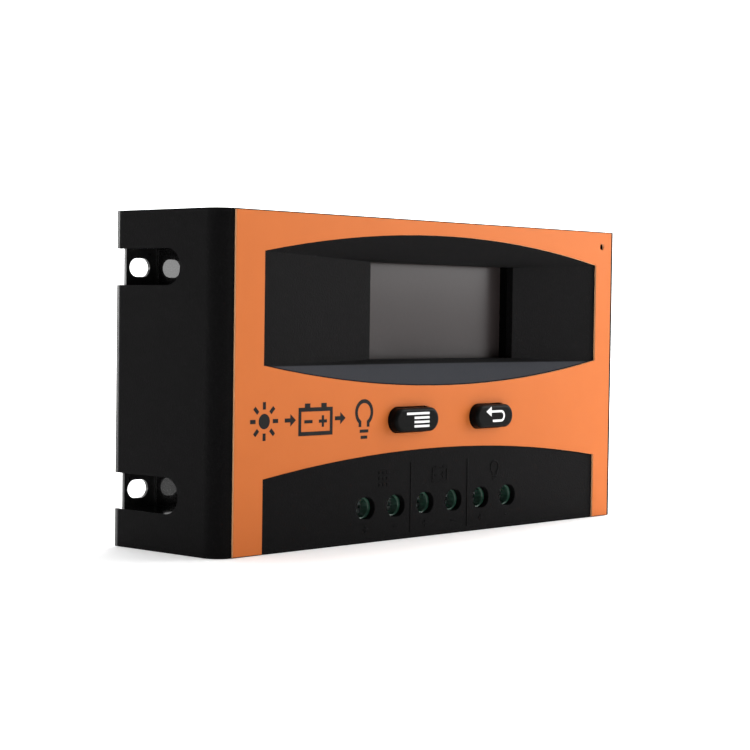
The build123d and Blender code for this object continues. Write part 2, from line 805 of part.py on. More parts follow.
def make_shunts():
    shunts = []
    half_z = shunt_width / 2
    for x, z in shunt_places:
        half_x = shunt_length / 2
        outer = block(x - half_x, x + half_x, board_back_y, board_back_y + shunt_height, z - half_z, z + half_z)
        inner = block(x - half_x + shunt_thickness, x + half_x - shunt_thickness, board_back_y - 1,
                      board_back_y + shunt_height - shunt_thickness, z - half_z - 1, z + half_z + 1)
        shunts.append(outer - inner)
    return group(shunts)


def make_chip():
    half = chip_size / 2
    return block(chip_x - half, chip_x + half, board_back_y + chip_standoff,
                 board_back_y + chip_standoff + chip_thickness, chip_z - half, chip_z + half)


def make_chip_leads():
    leads = []
    reach = chip_size / 2 + chip_lead_reach / 2
    for turn in range(4):
        for i in range(chip_lead_count):
            across = (i - (chip_lead_count - 1) / 2) * chip_lead_pitch
            lead = Pos(reach, 0, across) * Box(chip_lead_reach, chip_thickness / 2, chip_lead_size)
            leads.append(Pos(chip_x, board_back_y + chip_thickness / 4, chip_z) * Rot(0, 90 * turn, 0) * lead)
    return group(leads)


def make_resistors():
    width, height, length = resistor_size
    resistors = []
    for z in resistor_rows:
        for i in range(resistor_columns):
            x = chip_x + (i - (resistor_columns - 1) / 2) * resistor_pitch
            resistors.append(block(x - width / 2, x + width / 2, board_back_y, board_back_y + height,
                                   z - length / 2, z + length / 2))
    return group(resistors)


# ---------------------------------------------------------------- all nodes
def make_nodes():
    nodes = {
        "front_housing": make_front_housing(),
        "rear_cover": make_rear_cover(),
        "face_label": make_face_label(),
        "cover_screws": make_cover_screws(),
        "board_screws": make_board_screws(),
        "display_frame": make_display_frame(),
        "front_film": make_front_film(),
        "display_glass": make_display_glass(),
        "rear_film": make_rear_film(),
        "backlight_panel": make_backlight(),
        "display_pins": make_display_pins(),
        "menu_button": make_button(menu_button_x, menu_button_width, menu_marks),
        "menu_icon": make_inlay(menu_marks),
        "menu_switch": make_switch(menu_button_x),
        "menu_plunger": make_plunger(menu_button_x),
        "return_button": make_button(return_button_x, return_button_width, return_marks),
        "return_icon": make_inlay(return_marks),
        "return_switch": make_switch(return_button_x),
        "return_plunger": make_plunger(return_button_x),
        "status_indicator": make_indicator(),
        "main_board": make_main_board(),
        "terminal_contacts": make_contacts(),
        "heat_spreader": make_heat_spreader(),
        "thermal_pad": make_thermal_pad(),
        "spreader_screws": make_spreader_screws(),
        "mosfet_tabs": make_mosfet_tabs(),
        "mosfet_bodies": make_mosfet_bodies(),
        "mosfet_screws": make_mosfet_screws(),
        "capacitors": make_capacitors(),
        "protection_diodes": make_diodes(),
        "current_shunts": make_shunts(),
        "controller_chip": make_chip(),
        "chip_leads": make_chip_leads(),
        "chip_resistors": make_resistors(),
    }
    for i, name in enumerate(block_names):
        nodes[name + "_terminal_block"] = make_terminal_block(2 * i)
    for name, x in zip(terminal_names, terminal_xs):
        nodes[name + "_screw"] = make_clamp_screw(x)
        nodes[name + "_clamp"] = make_clamp_cage(x)
    return nodes


os.makedirs("parts", exist_ok=True)
for node, shape in make_nodes().items():
    export_step(shape, f"parts/{node}.step")
    print(node, len(shape.solids()), round(shape.volume, 2))
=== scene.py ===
# %% [markdown]
# # A wall-mounted solar charge controller
#
# The shape of the controller is already finished: every casing, screw, button and clamp comes
# from the imported model, in its real place and size. What is left to do here is what a finisher
# does: give each surface its moulding grain, its paint or its plating, print the pictograms on
# the label, raise the small marks round the terminals, and set the whole thing up in a studio.
#
# The imported model is loaded first. Its box is kept, and the table and the lights are placed
# from it.

# %% Load the imported model
import json
import math

import bmesh
import bpy
from mathutils import Matrix, Vector


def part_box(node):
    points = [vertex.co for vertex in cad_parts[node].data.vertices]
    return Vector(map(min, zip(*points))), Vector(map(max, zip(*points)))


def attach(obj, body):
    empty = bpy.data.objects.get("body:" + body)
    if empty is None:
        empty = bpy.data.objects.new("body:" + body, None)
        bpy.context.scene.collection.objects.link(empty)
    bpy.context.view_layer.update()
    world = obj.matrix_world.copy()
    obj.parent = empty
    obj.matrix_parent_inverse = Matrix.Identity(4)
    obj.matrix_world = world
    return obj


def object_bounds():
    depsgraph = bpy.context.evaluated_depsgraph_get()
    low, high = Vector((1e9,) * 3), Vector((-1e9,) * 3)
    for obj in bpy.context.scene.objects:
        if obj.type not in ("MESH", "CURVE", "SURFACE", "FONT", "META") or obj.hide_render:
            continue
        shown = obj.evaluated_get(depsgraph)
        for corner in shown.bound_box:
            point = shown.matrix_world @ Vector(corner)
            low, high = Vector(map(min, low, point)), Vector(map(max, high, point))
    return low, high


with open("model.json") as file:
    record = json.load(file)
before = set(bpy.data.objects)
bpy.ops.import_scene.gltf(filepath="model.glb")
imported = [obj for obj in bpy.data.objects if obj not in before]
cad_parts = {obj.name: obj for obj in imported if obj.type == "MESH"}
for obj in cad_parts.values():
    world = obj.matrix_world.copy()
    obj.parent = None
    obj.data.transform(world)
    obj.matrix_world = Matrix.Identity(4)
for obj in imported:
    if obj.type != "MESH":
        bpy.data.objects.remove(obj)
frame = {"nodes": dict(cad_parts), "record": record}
CAD_LOW, CAD_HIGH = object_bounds()
MM = 0.001
print("nodes", len(frame["nodes"]), "size in mm", [round(c / MM, 2) for c in CAD_HIGH - CAD_LOW])

# %% [markdown]
# ## One small class for node trees
#
# Materials and Geometry Nodes are both trees of nodes. Written out by hand, each node takes
# four or five lines and each sum of two values takes a Math node and two links. A socket that
# is wrapped in a class with Python's operators lets a sum be written as a sum, and one method
# that takes a node's type, its settings and its sockets adds every other node. The settings
# come first, because changing a node's operation can change the sockets that it has.

# %% Sockets that take part in Python sums
class Wire:
    """An output socket of a tree, which takes part in Python expressions."""

    def __init__(self, tree, socket):
        self.tree = tree
        self.socket = socket

    def sum(self, operation, *values):
        """Any operation of the Math node, on this socket first."""
        return self.tree.add("ShaderNodeMath", {"operation": operation}, dict(enumerate((self, *values))))

    def __add__(self, other):
        return self.sum("ADD", other)

    def __sub__(self, other):
        return self.sum("SUBTRACT", other)

    def __rsub__(self, other):
        return (self * -1.0).sum("ADD", other)

    def __mul__(self, other):
        return self.sum("MULTIPLY", other)

    def __truediv__(self, other):
        return self.sum("DIVIDE", other)

    def __abs__(self):
        return self.sum("ABSOLUTE")

    __radd__ = __add__
    __rmul__ = __mul__


# %% A tree that adds any node with one method
class Tree:
    """A node tree, for a material or for geometry."""

    def __init__(self, nodes, links):
        self.nodes = nodes
        self.links = links

    def add(self, kind, settings=None, sockets=None, output=0):
        node = self.nodes.new(kind)
        for name, value in (settings or {}).items():
            setattr(node, name, value)
        self.plug(node, sockets or {})
        return Wire(self, node.outputs[output])

    def plug(self, node, sockets):
        for name, value in sockets.items():
            for part in value if isinstance(value, list) else [value]:
                if isinstance(part, Wire):
                    self.links.new(part.socket, node.inputs[name])
                else:
                    node.inputs[name].default_value = part


print("a tree adds maths, noise, bumps and geometry nodes in the same way")

# %% [markdown]
# ## What every finish needs
#
# All finishes here are worked out in space and not on an unwrapped picture: a moulding grain
# or an orange peel has the same size everywhere on a part, whichever way its faces turn, and a
# CAD mesh has no useful unwrapping anyway. Object coordinates are in metres, so a noise of
# scale 3000 has specks of a third of a millimetre.
#
# Sharp CAD edges look cut from paper, because a real moulding always has a small radius that
# catches the light. The Bevel node rounds only the shading across an edge, which is enough for
# a radius of a quarter of a millimetre, and leaves the size of the part alone.

# %% A finish
class Finish(Tree):
    """A material with its Principled surface, and the patterns that finishes share."""

    def __init__(self, name, **sockets):
        self.material = bpy.data.materials.new(name)
        self.material.use_nodes = True
        super().__init__(self.material.node_tree.nodes, self.material.node_tree.links)
        self.surface = self.nodes["Principled BSDF"]
        self.place = self.add("ShaderNodeTexCoord", output="Object")
        self.set(**sockets)

    def set(self, **sockets):
        """Sets or links sockets of the surface, named with underscores for spaces."""
        self.plug(self.surface, {name.replace("_", " "): value for name, value in sockets.items()})

    def noise(self, size, detail=2.0, stretch=(1.0, 1.0, 1.0)):
        """Smooth noise from 0 to 1 with specks of a size in metres, longer where stretch is large."""
        place = self.place
        if stretch != (1.0, 1.0, 1.0):
            scale = tuple(1.0 / s for s in stretch)
            place = self.add("ShaderNodeMapping", {}, {"Vector": place, "Scale": scale})
        return self.add("ShaderNodeTexNoise", {}, {"Vector": place, "Scale": 1.0 / size, "Detail": detail})

    def mix(self, share, first, second):
        """A colour that goes from first to second as share goes from 0 to 1."""
        sockets = {0: share, 6: first, 7: second}
        return self.add("ShaderNodeMix", {"data_type": "RGBA"}, sockets, output=2)

    def between(self, value, low, high):
        """0 below low, 1 above high, and a smooth step between them."""
        sockets = {"Value": value, "From Min": low, "From Max": high}
        return self.add("ShaderNodeMapRange", {"interpolation_type": "SMOOTHSTEP"}, sockets)

    def xyz(self):
        """The three Object coordinates, in metres."""
        split = self.add("ShaderNodeSeparateXYZ", {}, {"Vector": self.place}).socket.node
        return [Wire(self, socket) for socket in split.outputs]

    def relief(self, height, depth, rounding=0.0):
        """Raises the surface by depth metres where height is 1, over edges rounded in shading."""
        sockets = {"Height": height, "Distance": depth, "Strength": 1.0}
        if rounding:
            sockets["Normal"] = self.add("ShaderNodeBevel", {"samples": 4}, {"Radius": rounding})
        self.set(Normal=self.add("ShaderNodeBump", {}, sockets))


def grey(value):
    """A neutral colour."""
    return (value, value, value, 1.0)


FINISHES = {}
print("a finish starts from object coordinates and a Principled surface")

# %% [markdown]
# ## The moulded case
#
# The case is black ABS, moulded against a steel cavity that was spark-eroded, which leaves a
# fine matt grain of rounded specks. A single noise looks like dust, so two are added: specks of
# half a millimetre and a finer one on top. The grain drives both the bump and the roughness.
#
# The four mounting pockets are different: sliding cores form them, and cores are polished so
# that they pull out cleanly. The pockets come out glossy. A mask made from the Object
# coordinates finds them: it is 1 inside the pockets' box and 0 on the outside of the case. A
# second mask finds the shelf below the display and paints it paler, a painted sheen in place of
# the light that the shelf catches at a grazing angle.

# %% Places on the case that the finishes need
CASE_LOW, CASE_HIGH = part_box("front_housing")
LABEL_LOW, LABEL_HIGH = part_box("face_label")
SCREW_NAMES = [name for name in frame["nodes"] if name.endswith(("_plus_screw", "_minus_screw"))]
SLOTS = {mount["name"]: mount for mount in frame["record"]["mounts"]}["wall_slots"]
SLOT_Z = SLOTS["dims"]["spacing_y_mm"] * MM / 2
MIDDLE_Z = (CASE_LOW.z + CASE_HIGH.z) / 2
POCKETS = [hole["box_m"] for hole in frame["record"]["physics"]["openings"] if "pocket" in hole["name"]]
POCKET_REACH = POCKETS[0][1][0] - POCKETS[0][0][0]
POCKET_HALF = (POCKETS[0][1][2] - POCKETS[0][0][2]) / 2 + 0.15 * MM
POCKET_FRONT = POCKETS[0][0][1] - POCKET_HALF - 0.2 * MM
SHELF_LOW, SHELF_HIGH = 36.0 * MM, 42.8 * MM
GRAIN_DEPTH = 0.035 * MM
EDGE_ROUNDING = 0.25 * MM
SHELF_FRONT, SHELF_BACK = LABEL_HIGH.y + 0.1 * MM, LABEL_HIGH.y + 4.8 * MM
print("terminal screws", len(SCREW_NAMES), "pockets", len(POCKETS), "from y", round(POCKET_FRONT / MM, 2))


# %% Black case
def make_case_finish(name):
    case = Finish(name, Specular_IOR_Level=0.022)
    x, y, z = case.xyz()
    specks = case.noise(0.00042, 3.0)
    fine = case.noise(0.00016, 1.0)
    grain = case.between(specks, 0.35, 0.68) * 0.7 + fine * 0.3
    inward = case.between(abs(x), CASE_HIGH.x - 0.00002, CASE_HIGH.x - 0.0003)
    deep = inward * case.between(abs(x), CASE_HIGH.x - POCKET_REACH - 0.0002, CASE_HIGH.x - POCKET_REACH)
    band = case.between(abs(abs(z - MIDDLE_Z) - SLOT_Z), POCKET_HALF + 0.0002, POCKET_HALF)
    pocket = deep * band * case.between(y, POCKET_FRONT, POCKET_FRONT + 0.0002)
    shade = case.mix(case.noise(0.02, 2.0), (0.0040, 0.0039, 0.0041, 1.0), (0.0050, 0.0048, 0.0051, 1.0))
    # Painted sheen: the shelf below the display is painted paler, in place of the light it catches at a grazing
    # angle.
    shelf_sheen_mask = case.between(z, SHELF_HIGH, SHELF_HIGH - 0.0003) * case.between(z, SHELF_LOW - 0.0003, SHELF_LOW)
    shelf_sheen_mask = shelf_sheen_mask * case.between(y, SHELF_FRONT, SHELF_FRONT + 0.0002)
    shelf_sheen_mask = shelf_sheen_mask * case.between(y, SHELF_BACK, SHELF_BACK - 0.0003)
    shelf_sheen_mask = shelf_sheen_mask * case.between(abs(x), CASE_HIGH.x - 0.0040, CASE_HIGH.x - 0.0045)
    moulded = case.mix(grain * 0.25, shade, grey(0.012))
    case.set(Base_Color=case.mix(shelf_sheen_mask, moulded, (0.046, 0.048, 0.055, 1.0)))
    case.set(Roughness=(1 - pocket) * (0.42 + grain * 0.16) + 0.09)
    case.set(Coat_Weight=pocket, Coat_Roughness=0.05)
    case.relief(grain * (1 - pocket), GRAIN_DEPTH, EDGE_ROUNDING)
    return case.material


FINISHES["black_case"] = make_case_finish("spark_eroded_black_case")
print("case finish", len(FINISHES["black_case"].node_tree.nodes), "nodes")

# %% [markdown]
# ## The orange label
#
# The face is a polycarbonate overlay of half a millimetre, printed orange and die-cut. Its
# front is satin, from a velvet texture too fine to see as specks, and the print is very slightly
# uneven. Where the die has cut through the sheet the edge is painted paler, a painted highlight
# for the light that the thin cut edge catches. Depth from the label's front face finds that cut
# edge.

# %% Orange label
def make_label_finish(name):
    label = Finish(name, Specular_IOR_Level=0.08)
    depth = label.xyz()[1]
    mottle = label.noise(0.009, 3.0)
    velvet = label.noise(0.00022, 2.0)
    printed = label.mix(mottle, (0.565, 0.145, 0.030, 1.0), (0.595, 0.156, 0.034, 1.0))
    printed = label.mix(velvet * 0.12, printed, (0.50, 0.115, 0.024, 1.0))
    # Painted highlight: the die-cut edge is painted paler, in place of the light its thin edge catches.
    cut_edge_highlight = label.between(depth, LABEL_LOW.y + 0.00003, LABEL_LOW.y + 0.00008)
    label.set(Base_Color=label.mix(cut_edge_highlight, printed, (0.95, 0.50, 0.26, 1.0)))
    label.set(Roughness=0.40 + velvet * 0.12)
    label.relief(velvet, 0.000010, 0.00012)
    return label.material


FINISHES["orange_label"] = make_label_finish("satin_orange_overlay")
print("label finish", len(FINISHES["orange_label"].node_tree.nodes), "nodes")

# %% [markdown]
# ## The powder-coated cover
#
# The back plate is steel sheet with a baked black powder coat. Powder melts into a skin with
# the gentle hills known as orange peel, a millimetre or so across and a few hundredths high,
# with a finer ripple on them. The skin is fairly glossy, which is why the rounded edge of the
# plate shows as a grey line beside the matt case.

# %% Powder coat
def make_cover_finish(name):
    cover = Finish(name, Specular_IOR_Level=0.5)
    peel = cover.noise(0.0011, 1.0)
    ripple = cover.noise(0.00028, 2.0)
    cover.set(Base_Color=cover.mix(peel, grey(0.014), grey(0.022)))
    cover.set(Roughness=0.17 + ripple * 0.12)
    cover.relief(peel * 0.7 + ripple * 0.3, 0.000045, 0.00012)
    return cover.material


FINISHES["black_cover"] = make_cover_finish("black_powder_coat")
print("cover finish", len(FINISHES["black_cover"].node_tree.nodes), "nodes")

# %% [markdown]
# ## Plated and bare metals
#
# The screws are zinc plated, the clamps nickel plated, the contacts and leads tinned, and the
# heat spreader is sawn aluminium bar. They share one recipe: a metal whose roughness changes in
# soft patches, as plating does, and fine scratches that are made by squeezing a noise along one
# axis. Only the colour, the roughness and the length of the scratches differ.

# %% Metals
def make_metal(name, colour, dull, roughness, scratch, stretch):
    metal = Finish(name, Metallic=1.0)
    patches = metal.noise(0.0018, 3.0)
    scratches = metal.noise(scratch, 2.0, stretch)
    metal.set(Base_Color=metal.mix(metal.between(patches, 0.4, 0.75) * 0.6, colour, dull))
    metal.set(Roughness=roughness + patches * 0.14 + scratches * 0.10)
    metal.relief(scratches, 0.000008, 0.00008)
    return metal.material


METALS = {
    "screw_steel": ((0.56, 0.57, 0.60, 1.0), (0.40, 0.40, 0.40, 1.0), 0.22, 0.00025, (1.0, 1.0, 1.0)),
    "terminal_screw_steel": ((0.74, 0.75, 0.77, 1.0), (0.52, 0.52, 0.50, 1.0), 0.24, 0.0002, (6.0, 1.0, 1.0)),
    "clamp_nickel": ((0.66, 0.63, 0.58, 1.0), (0.50, 0.47, 0.42, 1.0), 0.20, 0.0002, (1.0, 1.0, 6.0)),
    "tinned_metal": ((0.78, 0.77, 0.75, 1.0), (0.58, 0.57, 0.55, 1.0), 0.26, 0.0003, (2.0, 1.0, 2.0)),
    "aluminium_bar": ((0.80, 0.80, 0.82, 1.0), (0.62, 0.62, 0.63, 1.0), 0.30, 0.00025, (40.0, 1.0, 1.0)),
}
for slot, recipe in METALS.items():
    FINISHES[slot] = make_metal("metal_" + slot, *recipe)
print("metals", ", ".join(METALS))

# %% [markdown]
# ## Small plastics
#
# The remaining mouldings also share a recipe: a base colour that wanders a little, a grain of
# some size and depth, and a roughness. The buttons are satin black, the display holder is matt
# and swallows light, the terminal blocks are green nylon, which has a slight waxy gloss, and
# the chips are black moulding compound with coarse, sandy specks.

# %% Plastics
def make_plastic(name, colour, other, roughness, grain_size, grain_depth, rounding, gloss=0.5):
    plastic = Finish(name, Specular_IOR_Level=gloss)
    drift = plastic.noise(0.004, 2.0)
    grain = plastic.noise(grain_size, 2.0)
    plastic.set(Base_Color=plastic.mix(drift, colour, other))
    plastic.set(Roughness=roughness + (grain - 0.5) * 0.14)
    plastic.relief(grain, grain_depth, rounding)
    return plastic.material


PLASTICS = {
    "black_button": (grey(0.0028), grey(0.0040), 0.34, 0.00025, 0.000010, 0.00020, 0.035),
    "black_frame": (grey(0.001), grey(0.002), 0.75, 0.00030, 0.000015, 0.00010, 0.01),
    "white_inlay": (grey(0.86), grey(0.92), 0.42, 0.00020, 0.000004, 0.00004),
    "switch_black": (grey(0.012), grey(0.018), 0.48, 0.00020, 0.000008, 0.00010),
    "green_block": ((0.016, 0.056, 0.036, 1.0), (0.023, 0.076, 0.050, 1.0), 0.20, 0.00035, 0.000010, 0.00030),
    "chip_black": (grey(0.012), grey(0.020), 0.58, 0.00012, 0.000012, 0.00008),
    "capacitor_sleeve": ((0.012, 0.020, 0.075, 1.0), (0.016, 0.028, 0.095, 1.0),
                         0.20, 0.0012, 0.000012, 0.00015),
    "thermal_pad": ((0.30, 0.31, 0.33, 1.0), (0.36, 0.37, 0.38, 1.0), 0.62, 0.00040, 0.000015, 0.00010),
    "light_guide": ((0.82, 0.84, 0.86, 1.0), (0.88, 0.89, 0.90, 1.0), 0.22, 0.00060, 0.000006, 0.00008),
}
for slot, recipe in PLASTICS.items():
    FINISHES[slot] = make_plastic("plastic_" + slot, *recipe)
print("plastics", ", ".join(PLASTICS))

# %% [markdown]
# ## The display
#
# With no power, a reflective liquid crystal display is a flat grey-brown: light passes the
# front polariser twice and comes back dim. The polariser is a glossy film, so it mostly shows a
# weak reflection of the room, a little softer at one side. Under it lie two plates of glass and
# a second film. The glass is clear, so it takes its look from transmission, and only its
# roughness carries a faint haze.

# %% Display film, glass and rear film
def make_film(name, colour, other, roughness):
    film = Finish(name, Specular_IOR_Level=0.2, Coat_Weight=0.05, Coat_Roughness=0.12)
    haze = film.noise(0.03, 1.0)
    weave = film.noise(0.00022, 1.0, (1.0, 1.0, 5.0))
    film.set(Base_Color=film.mix(haze * 0.7 + weave * 0.3, colour, other))
    film.set(Roughness=roughness + haze * 0.08)
    film.relief(weave, 0.000002)
    return film.material


def make_glass(name):
    glass = Finish(name, Transmission_Weight=1.0, IOR=1.5)
    haze = glass.noise(0.01, 2.0)
    glass.set(Base_Color=glass.mix(haze, (0.86, 0.92, 0.89, 1.0), (0.92, 0.96, 0.94, 1.0)))
    glass.set(Roughness=haze * 0.04)
    return glass.material


def make_lens(name):
    lens = Finish(name, Transmission_Weight=0.6, IOR=1.5)
    cloud = lens.noise(0.0015, 2.0)
    lens.set(Base_Color=lens.mix(cloud, (0.36, 0.015, 0.012, 1.0), (0.50, 0.03, 0.02, 1.0)))
    lens.set(Roughness=0.10 + cloud * 0.10)
    return lens.material


FILMS = {
    "display_film": ("polarising_film", (0.026, 0.021, 0.021, 1.0), (0.040, 0.033, 0.032, 1.0), 0.22),
    "rear_film": ("rear_polarising_film", (0.20, 0.21, 0.20, 1.0), (0.26, 0.27, 0.26, 1.0), 0.30),
}
for slot, recipe in FILMS.items():
    FINISHES[slot] = make_film(*recipe)
FINISHES["display_glass"] = make_glass("display_glass")
FINISHES["indicator_lens"] = make_lens("indicator_lens")
print("display finishes made")

# %% [markdown]
# ## The circuit board
#
# A board is glass fibre under a green solder mask, and the copper tracks show through the mask
# as slightly raised, lighter bands. Tracks run in straight lanes that keep a constant gap, so a
# brick pattern gives believable ones: its mortar is the gap and its bricks are the copper. Two
# such patterns at right angles, chosen by large patches of noise, look like a routed board.

# %% Solder mask over copper tracks
def make_board(name):
    board = Finish(name, Coat_Weight=0.4, Coat_Roughness=0.15)
    x, y, z = board.xyz()
    lanes = {}
    for turn, (along, across) in {"level": (x, z), "upright": (z, x)}.items():
        place = board.add("ShaderNodeCombineXYZ", {}, {"X": along, "Y": across})
        sockets = {"Vector": place, "Color1": grey(1.0), "Color2": grey(0.8), "Mortar": grey(0.0), "Scale": 1.0,
                   "Mortar Size": 0.00022, "Brick Width": 0.014, "Row Height": 0.0013}
        lanes[turn] = board.add("ShaderNodeTexBrick", {}, sockets, output="Fac")
    areas = board.between(board.noise(0.016, 1.0), 0.48, 0.50)
    gap = lanes["level"] * areas + lanes["upright"] * (1 - areas)
    weave = board.noise(0.0004, 1.0)
    copper = board.mix(weave, (0.016, 0.150, 0.050, 1.0), (0.022, 0.175, 0.060, 1.0))
    board.set(Base_Color=board.mix(gap, copper, (0.006, 0.070, 0.024, 1.0)))
    board.set(Roughness=0.28 + weave * 0.12)
    board.relief(1 - gap, 0.00004)
    return board.material


FINISHES["green_board"] = make_board("solder_mask_board")
print("board finish", len(FINISHES["green_board"].node_tree.nodes), "nodes")

# %% [markdown]
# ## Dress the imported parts
#
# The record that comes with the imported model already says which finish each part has, so one
# loop over it is enough, and a part that is added to the model later is dressed as well.

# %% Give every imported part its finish
for part in frame["record"]["subparts"]:
    mesh = frame["nodes"][part["node"]].data
    if not mesh.materials:
        mesh.materials.append(None)
    for index in range(len(mesh.materials)):
        mesh.materials[index] = FINISHES[part["material_slot"]]

# %% [markdown]
# ## Marks drawn with a pen of square section
#
# Pictograms and raised marks are all lines of one width. A pen stroke in metal or ink is a
# strip: its outline is the path shifted half a width to each side. At a corner both shifts meet
# on the mitre, which is longer by one over the cosine of half the turn. Working that out point
# by point keeps the line's width true through every corner, where a swept curve would pinch.
# Each strip then gets its thickness, and a raised mark also a small bevel, since plastic does
# not end in a razor edge.

# %% Strips and plates
def mitred(points, half, closed):
    """The two edges of a strip that follows points."""
    count = len(points)
    left, right = [], []
    for i, point in enumerate(points):
        before = points[i - 1] if closed or i else point
        after = points[(i + 1) % count] if closed or i < count - 1 else point
        arriving = (point - before).normalized() if point != before else (after - point).normalized()
        leaving = (after - point).normalized() if after != point else arriving
        across = (arriving + leaving).normalized()
        across = Vector((-across.y, across.x))
        reach = half / max(across.dot(Vector((-arriving.y, arriving.x))), 0.3)
        left.append(point + across * reach)
        right.append(point - across * reach)
    return left, right


def ring(centre, radius, start=0.0, end=360.0, steps=32):
    """Points on an arc, in degrees from +X. A whole circle doesn't repeat its first point."""
    whole = abs(end - start) >= 360.0
    angles = [math.radians(start + (end - start) * i / steps) for i in range(steps if whole else steps + 1)]
    return [centre + Vector((math.cos(a), math.sin(a))) * radius for a in angles]


class Marks:
    """A mesh of thin raised shapes on a plane of constant depth, seen from the front."""

    def __init__(self, name, back, height, soften=0.0):
        self.name = name
        self.back = back
        self.front = back - height
        self.soften = soften
        self.mesh = bmesh.new()

    def plate(self, outline):
        """A flat plate with this outline."""
        rims = [[self.mesh.verts.new((p.x, y, p.y)) for p in outline] for y in (self.front, self.back)]
        self.mesh.faces.new(rims[0])
        self.mesh.faces.new(list(reversed(rims[1])))
        for i in range(len(outline)):
            j = (i + 1) % len(outline)
            self.mesh.faces.new((rims[0][j], rims[0][i], rims[1][i], rims[1][j]))

    def strip(self, points, width, closed=False):
        """A line of one width."""
        left, right = mitred([Vector(p) for p in points], width / 2, closed)
        if not closed:
            self.plate(left + list(reversed(right)))
            return
        rims = [[self.mesh.verts.new((p.x, y, p.y)) for p in edge]
                for edge, y in ((left, self.front), (right, self.front), (right, self.back), (left, self.back))]
        for i in range(len(points)):
            j = (i + 1) % len(points)
            for k in range(4):
                self.mesh.faces.new((rims[k][i], rims[k][j], rims[(k + 1) % 4][j], rims[(k + 1) % 4][i]))

    def piece(self, body, material, slot=None):
        """Closes the mesh, softens its front edges and rides it on a body."""
        bmesh.ops.recalc_face_normals(self.mesh, faces=self.mesh.faces)
        if self.soften:
            edges = [e for e in self.mesh.edges
                     if e.calc_face_angle(0.0) > 0.6 and all(abs(v.co.y - self.front) < 1e-7 for v in e.verts)]
            bmesh.ops.bevel(self.mesh, geom=edges, offset=self.soften, segments=2, profile=0.5, affect="EDGES")
        bmesh.ops.triangulate(self.mesh, faces=self.mesh.faces)
        data = bpy.data.meshes.new(self.name)
        self.mesh.to_mesh(data)
        self.mesh.free()
        data.materials.append(material)
        made = bpy.data.objects.new(self.name, data)
        bpy.context.collection.objects.link(made)
        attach(made, body)
        print(self.name, len(data.polygons), "triangles")


# %% [markdown]
# ## The printed row on the label
#
# The label has a block of black print left of the buttons. Here it is a row of pictograms that
# any controller could carry: a sun, a battery and a lamp, with arrows for the way the current
# flows. Ink from a screen stands about two hundredths of a millimetre proud.
#
# The rays of the sun repeat round a circle, which is what Geometry Nodes are good at: one ray
# is made once, put on every point of a circle, and turned to face outwards.

# %% A geometry tree and how it is run
class Growth(Tree):
    """A Geometry Nodes tree with named inputs, run once on an empty mesh."""

    KINDS = {float: "NodeSocketFloat", int: "NodeSocketInt", Vector: "NodeSocketVector"}

    def __init__(self, name, **inputs):
        self.group = bpy.data.node_groups.new(name, "GeometryNodeTree")
        super().__init__(self.group.nodes, self.group.links)
        self.group.interface.new_socket("Geometry", in_out="OUTPUT", socket_type="NodeSocketGeometry")
        self.values = inputs
        self.sockets = {}
        for label, value in inputs.items():
            kind = self.KINDS[type(value)]
            self.sockets[label] = self.group.interface.new_socket(label, in_out="INPUT", socket_type=kind)
        self.entry = self.group.nodes.new("NodeGroupInput")

    def value(self, label):
        return Wire(self, self.entry.outputs[label])

    def bar(self, across, deep, upright):
        """A box whose sizes along X, Y and Z are three of the inputs."""
        size = self.add("ShaderNodeCombineXYZ", {}, {0: self.value(across), 1: self.value(deep),
                                                     2: self.value(upright)})
        return self.add("GeometryNodeMeshCube", {}, {"Size": size})

    def piece(self, geometry, body, material, slot=None):
        """Ends the tree, keeps what it makes as a plain mesh and rides that on a body."""
        whole = self.add("GeometryNodeRealizeInstances", {}, {"Geometry": geometry})
        dressed = self.add("GeometryNodeSetMaterial", {}, {"Geometry": whole, "Material": material})
        exit_node = self.nodes.new("NodeGroupOutput")
        self.links.new(dressed.socket, exit_node.inputs[0])
        made = bpy.data.objects.new(self.group.name, bpy.data.meshes.new(self.group.name))
        bpy.context.collection.objects.link(made)
        modifier = made.modifiers.new("growth", "NODES")
        modifier.node_group = self.group
        for label, socket in self.sockets.items():
            modifier[socket.identifier] = self.values[label]
        grown = made.evaluated_get(bpy.context.evaluated_depsgraph_get())
        data = bpy.data.meshes.new_from_object(grown)
        made.modifiers.clear()
        made.data = data
        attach(made, body)
        print(made.name, len(data.polygons), "faces")


# %% Ink of the print
def make_ink(name):
    ink = Finish(name, Specular_IOR_Level=0.08)
    screen = ink.noise(0.00018, 2.0)
    ink.set(Base_Color=ink.mix(screen, grey(0.004), grey(0.008)))
    ink.set(Roughness=0.34 + screen * 0.16)
    ink.relief(screen, 0.000003)
    return ink.material


INK = make_ink("black_screen_ink")
INK_HEIGHT = 0.025 * MM
INK_LINE = 0.95 * MM
PRINT_Z = 30.3 * MM
SUN_X = LABEL_LOW.x + 9.2 * MM
BATTERY_X = LABEL_LOW.x + 25.8 * MM
LAMP_X = LABEL_LOW.x + 42.3 * MM
ARROW_XS = [(SUN_X + BATTERY_X) / 2, (BATTERY_X + LAMP_X) / 2]
print("print centred at", [round(x / MM, 1) for x in (SUN_X, BATTERY_X, LAMP_X)])


